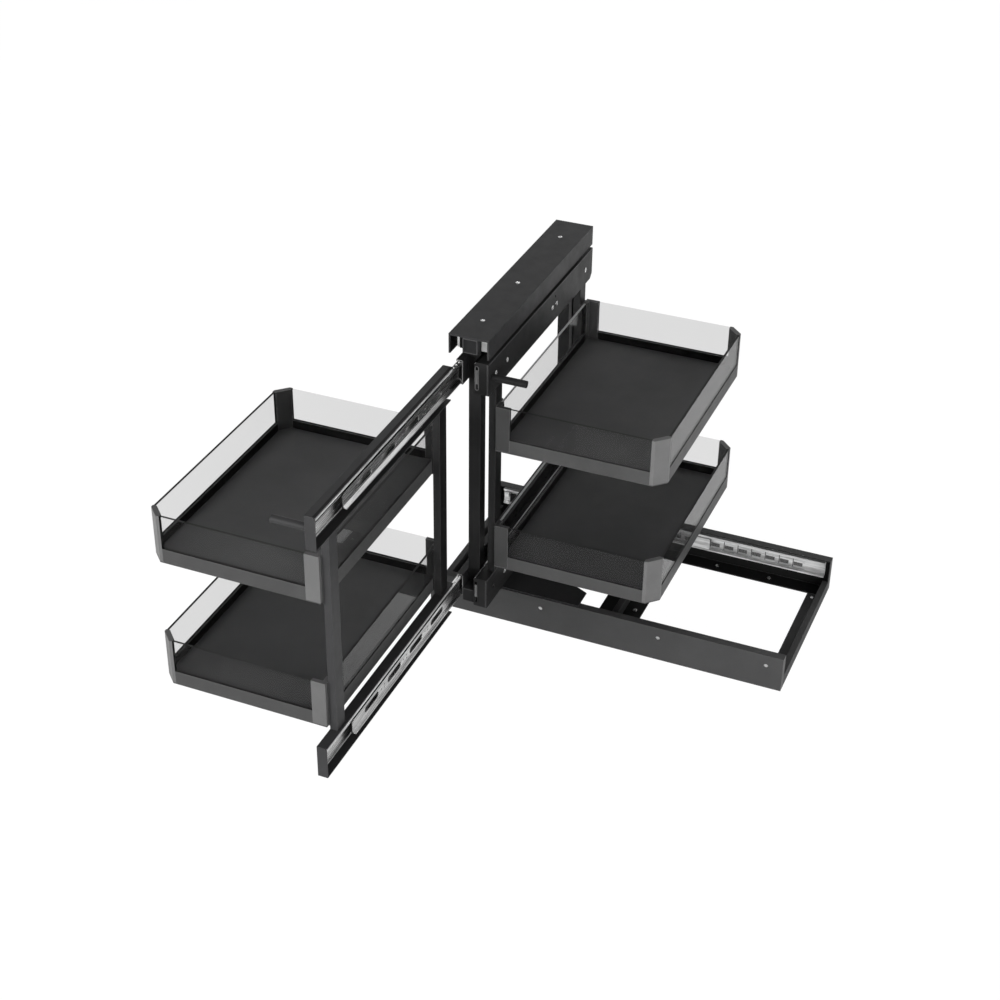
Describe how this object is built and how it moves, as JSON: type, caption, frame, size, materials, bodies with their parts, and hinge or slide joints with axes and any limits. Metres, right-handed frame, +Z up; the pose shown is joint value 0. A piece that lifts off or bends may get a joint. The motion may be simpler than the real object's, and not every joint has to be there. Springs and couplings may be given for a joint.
{
  "type": "blind corner pull out",
  "caption": "Blind corner pull out for a kitchen base cabinet: floor base, sliding carriage and glass-sided baskets on ball slides",
  "frame": {"origin": "centre of the four floor screws of the end rails, on the cabinet floor", "axes": "X along the base, towards the blind end of the cabinet; Y from the door to the back of the cabinet; Z up"},
  "size_m": [0.8942, 1.011, 0.601],
  "materials": {
    "base_paint": "fine satin powder coat",
    "carriage_paint": "fine satin powder coat",
    "group_paint": "fine satin powder coat",
    "rim_paint": "fine satin powder coat",
    "post_paint": "satin, lighter grey",
    "zinc_steel": "bright zinc plated, rolled",
    "board": "matte laminate",
    "glass": "clear, polished edges"
  },
  "bodies": {
    "base": {"base_front_rail": "base_paint", "base_back_rail": "base_paint", "base_left_rail": "base_paint", "base_right_rail": "base_paint", "base_cross_member": "base_paint", "front_side_slide_rail": "zinc_steel", "back_side_slide_rail": "zinc_steel", "front_side_ball_cage": "zinc_steel", "back_side_ball_cage": "zinc_steel"},
    "carriage": {"front_side_slide_runner": "zinc_steel", "back_side_slide_runner": "zinc_steel", "carriage_front_shoe": "carriage_paint", "carriage_back_shoe": "carriage_paint", "carriage_bottom_tube": "carriage_paint", "carriage_top_tube": "carriage_paint", "carriage_front_post": "carriage_paint", "carriage_back_post": "carriage_paint", "carriage_cap": "carriage_paint", "front_top_slide_outer": "zinc_steel", "front_low_slide_outer": "zinc_steel", "rear_top_slide_outer": "zinc_steel", "rear_low_slide_outer": "zinc_steel"},
    "front_group": {"front_top_slide_inner": "zinc_steel", "front_low_slide_inner": "zinc_steel", "front_top_channel": "group_paint", "front_low_channel": "group_paint", "front_group_front_upright": "group_paint", "front_group_rear_upright": "group_paint", "front_group_rod": "group_paint", "front_top_basket_frame": "rim_paint", "front_low_basket_frame": "rim_paint", "front_top_basket_board": "board", "front_low_basket_board": "board", "front_top_basket_posts": "post_paint", "front_low_basket_posts": "post_paint", "front_top_basket_glass": "glass", "front_low_basket_glass": "glass"},
    "rear_group": {"rear_top_slide_inner": "zinc_steel", "rear_low_slide_inner": "zinc_steel", "rear_top_channel": "group_paint", "rear_low_channel": "group_paint", "rear_group_front_upright": "group_paint", "rear_group_rear_upright": "group_paint", "rear_group_rod": "group_paint", "rear_top_basket_frame": "rim_paint", "rear_low_basket_frame": "rim_paint", "rear_top_basket_board": "board", "rear_low_basket_board": "board", "rear_top_basket_posts": "post_paint", "rear_low_basket_posts": "post_paint", "rear_top_basket_glass": "glass", "rear_low_basket_glass": "glass"},
    "front_top_middle": {"front_top_slide_middle": "zinc_steel", "front_top_ball_cage": "zinc_steel"},
    "front_low_middle": {"front_low_slide_middle": "zinc_steel", "front_low_ball_cage": "zinc_steel"},
    "rear_top_middle": {"rear_top_slide_middle": "zinc_steel", "rear_top_ball_cage": "zinc_steel"},
    "rear_low_middle": {"rear_low_slide_middle": "zinc_steel", "rear_low_ball_cage": "zinc_steel"}
  },
  "joints": [
    {"name": "carriage_slide", "type": "slide", "parent": "base", "child": "carriage", "axis": [1, 0, 0], "range_m": [0, 0.225]},
    {"name": "front_group_slide", "type": "slide", "parent": "carriage", "child": "front_group", "axis": [0, 1, 0], "range_m": [0, 0.517]},
    {"name": "rear_group_slide", "type": "slide", "parent": "carriage", "child": "rear_group", "axis": [0, -1, 0], "range_m": [0, 0.517]},
    {"name": "front_top_middle_slide", "type": "slide", "parent": "carriage", "child": "front_top_middle", "axis": [0, 1, 0], "range_m": [0, 0.4305]},
    {"name": "front_low_middle_slide", "type": "slide", "parent": "carriage", "child": "front_low_middle", "axis": [0, 1, 0], "range_m": [0, 0.4305]},
    {"name": "rear_top_middle_slide", "type": "slide", "parent": "carriage", "child": "rear_top_middle", "axis": [0, -1, 0], "range_m": [0, 0.4305]},
    {"name": "rear_low_middle_slide", "type": "slide", "parent": "carriage", "child": "rear_low_middle", "axis": [0, -1, 0], "range_m": [0, 0.4305]}
  ],
  "couplings": [
    {"joint": "front_top_middle_slide", "follows": "front_group_slide", "ratio": 0.8317},
    {"joint": "front_low_middle_slide", "follows": "front_group_slide", "ratio": 0.8317},
    {"joint": "rear_top_middle_slide", "follows": "rear_group_slide", "ratio": 0.8317},
    {"joint": "rear_low_middle_slide", "follows": "rear_group_slide", "ratio": 0.8317}
  ]
}
